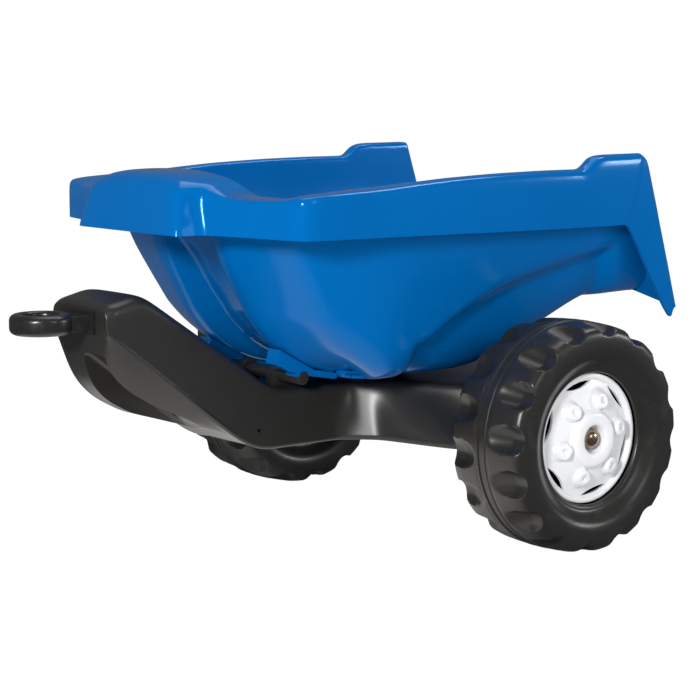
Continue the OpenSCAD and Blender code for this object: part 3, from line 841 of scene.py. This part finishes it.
def band_outer(column, inner):
    """Where the band's outer edge is beside a column of the wall sheet."""
    kind, value = column
    if kind == "channel":
        return value * 1.03, HOOD_Y
    if column in OUTER:
        return OUTER[column]
    y = inner[1] - (TAIL_PULL[value] if kind == "tail" else 0)
    return side_band(y), y


stations = []
for column, points in zip(reversed(columns), reversed(wall)):
    kind, value = column
    inner = points[0]
    outer = band_outer(column, inner)
    low = (*outer, BAND_LOW - BAND_DROP * step(outer[1], *BAND_DROP_RUN))
    top = inner[2] + 0.5
    round_r = 5
    if kind == "tail":
        low = (outer[0], *CHEEK_BEND[value])
    elif outer[0] < HOOD_X:
        at_front = outer[1] < HOOD_FRONT
        top = hood_top(outer[0])
        round_r = 15 if at_front else 8
        lean = 1 if at_front else 0.5
        outer = (outer[0] * (1 - HOOD_LEAN * lean), outer[1] + HOOD_BACK * lean)
    stations.append(band_station(inner, outer, top, round_r, low))
stations.append(band_station(wall[0][0], (TAIL_HALF, 118), TAIL_TOP - 2, 4, (TAIL_HALF, 99.5, 163.6)))

# Web and cheek down each side of the open tail
for j, inner in enumerate(wall[0]):
    z = FLANGE_TOP + (FLANGE_LOW - FLANGE_TOP) * j / (len(wall[0]) - 1)
    rear = (TAIL_HALF, tail_edge(z) - 0.5, z)
    face = (TAIL_HALF, rear[1] - 5, z)
    low = (TAIL_HALF, curve(0.6 + j, CHEEK_Y), curve(0.6 + j, CHEEK_Z))
    web = [inner] + [part_way(inner, rear, share) for share in (0.15, 0.55, 0.9)]
    edge = [(TAIL_HALF - 0.6, rear[1] - 1.2, z), face]
    stations.append(web + edge + [part_way(face, low, 0.5), part_way(low, rear, 0.15), low])
band_sheet = skin("tub_band", stations)

tub = join(wall_sheet, floor_sheet, band_sheet)
edit(tub, bpy.ops.mesh.remove_doubles, threshold=0.00005)
shape(tub, "MIRROR", use_clip=True, merge_threshold=0.0002)
edit(tub, bpy.ops.mesh.normals_make_consistent)


def from_floor(face):
    """Distance of a face from a place on the floor."""
    return abs(face.center.x) + abs(face.center.y - AXLE.y + 0.05) + face.center.z


if min(tub.data.polygons, key=from_floor).normal.z < 0:
    edit(tub, bpy.ops.mesh.flip_normals)
shape(tub, "SUBSURF", levels=2, render_levels=2)
shape(tub, "SOLIDIFY", thickness=0.003, offset=-1, use_even_offset=False)

NOTCH_R = 5.8
FOOT_X = (40, 56)
LUG_R = 10
LUG_X = (68.3, 78.3)
foot = [(-195, 60), (-184, 54), (-174.5, 51.5), *arc(BAR_Y, BAR_Z, NOTCH_R, reversed(UPPER_HALF))]
foot += [(-136, 43), (-128, 45), (-128, 47.5), (-157, 52.5), (-180, 65), (-192, 72)]
lug = [(50, PIVOT_Z), (50, 79), (30, 69), (30, PIVOT_Z), *arc(PIVOT_Y, PIVOT_Z, LUG_R, LOWER_HALF)]
feet = pair("foot", foot, *FOOT_X)
lugs = pair("lug", lug, *LUG_X)
for piece in lugs:
    break_edges(piece)
join(tub, *feet, *lugs)
dress(tub, blue_plastic, "tub", "tub")


# Pivot and rest bar
# A zinc-plated rod through the frame's ears and the tub's lugs, with nylon bushes and steel end caps.
# The rest bar is black plastic and lies in the frame's saddles, under the tub's feet.
turned_part(zinc_steel, "pivot_rod", "pivot_cap_left", "pivot_cap_right")
turned_part(natural_nylon, "pivot_bush_left", "pivot_bush_right")
turned_part(black_plastic, "rest_bar")


# Hitch
# A satin black eye whose shank sits in the drawbar's nose, held by a zinc-plated screw.
# Both keep their CAD shape, with broken edges.
hitch_black = Finish("hitch_black", IOR=1.5)
grain = hitch_black.noise(0.0008, 4)
wear = hitch_black.noise(0.006, 5).between(0.55, 0.75)
hitch_black.set("Base Color", hitch_black.tint(wear, (0.012, 0.012, 0.012), (0.02, 0.019, 0.018)))
hitch_black.set("Roughness", grain * 0.12 + wear * 0.1 + 0.22)
hitch_black.relief(grain * 0.015)

turned_part(hitch_black, "hitch_eye")
turned_part(zinc_steel, "hitch_screw")


# Studio
# A pale floor, a white surround for the camera and soft lights all round, as in a product photograph.
# Shiny surfaces see a darker room, and a painted pool of light that glows on the floor under the drawbar.
bpy.ops.object.select_all(action="DESELECT")
bpy.ops.mesh.primitive_plane_add(size=14)
floor = bpy.context.object
floor.name = "floor"
paper = Finish("floor_paper", Roughness=0.9)
fibre = paper.noise(0.02, 4)
paper.set("Base Color", paper.tint(fibre, (0.84, 0.84, 0.84), (0.88, 0.88, 0.88)))
# Painted reflection: in glossy rays only, the floor glows bright under the drawbar and dim further out, so
# the drawbar's underside looks lit.
PAINTED_POOL_MIDDLE = (0.0, -0.16, 0)
painted_pool_reach = paper.node("ShaderNodeVectorMath", [paper.place, PAINTED_POOL_MIDDLE], output="Value", operation="DISTANCE")
painted_pool_colour = paper.tint(painted_pool_reach.between(0.2, 0.32), (1.3, 1.27, 1.2), (0.11, 0.11, 0.12))
painted_pool_glow = paper.node("ShaderNodeEmission", {"Color": painted_pool_colour, "Strength": 1.0})
glow = paper.node("ShaderNodeEmission", {"Color": (1, 1, 1, 1), "Strength": 1.04})
matt = Wire(paper, paper.shader.outputs[0])
matt_or_painted_pool = paper.mix(paper.light_path("Is Glossy Ray"), matt, painted_pool_glow)
paper.show(paper.mix(paper.light_path("Is Camera Ray") * 0.96, matt_or_painted_pool, glow), "Material Output")
floor.data.materials.append(paper.material)

world = bpy.data.worlds.new("studio")
world.use_nodes = True
bpy.context.scene.world = world
ROOM = (0.96, 0.98, 1, 1)
sky = Nodes(world.node_tree)
backdrop = sky.node("ShaderNodeBackground", {"Color": (1, 1, 1, 1), "Strength": 1.0})
around = sky.node("ShaderNodeBackground", {"Color": ROOM, "Strength": 0.38})
mirrored = sky.node("ShaderNodeBackground", {"Color": ROOM, "Strength": 0.14})
lit = sky.mix(sky.light_path("Is Glossy Ray"), around, mirrored)
sky.show(sky.mix(sky.light_path("Is Camera Ray"), lit, backdrop), "World Output")


def soft_light(name, spot, aim, size, power):
    """A square area light that points from a spot to an aim."""
    bpy.ops.object.light_add(type="AREA", location=spot)
    light = bpy.context.object
    light.name = name
    light.data.size = size
    light.data.energy = power
    x, y, z = [a - s for a, s in zip(aim, spot)]
    light.rotation_euler = (math.atan2(math.hypot(x, y), -z), 0, math.atan2(-x, y))
    return light


soft_light("key", spot=(1.14, -1.81, 0.87), aim=(0, -0.05, 0.2), size=0.32, power=42)
soft_light("side", spot=(2.2, 0.3, 0.9), aim=(0, 0.05, 0.2), size=0.6, power=5)
soft_light("top", spot=(-0.3, 0.5, 2.2), aim=(0, 0.05, 0.2), size=1.6, power=17)
soft_light("rear", spot=(0.35, 1.3, 2.0), aim=(0, 0, 0.2), size=0.4, power=9)
soft_light("glint", spot=(1.3, 1.6, 0.5), aim=(0, -0.1, 0.2), size=0.25, power=6)
back = soft_light("back", spot=(-1.8, 1.4, 1.2), aim=(0, 0.05, 0.2), size=1.2, power=14)
back.visible_glossy = False


# Camera
# Stands in front of the trailer's left side and a little above it, with a long lens.
CAMERA_TURN = (math.radians(82.16), 0, math.radians(50.78))
bpy.ops.object.camera_add(location=(1.4162, -1.1077, 0.4025), rotation=CAMERA_TURN)
camera = bpy.context.object
camera.data.sensor_width = 36
camera.data.lens = 109.55
camera.data.clip_end = 50
bpy.context.scene.camera = camera
bpy.context.scene.view_settings.view_transform = "Standard"
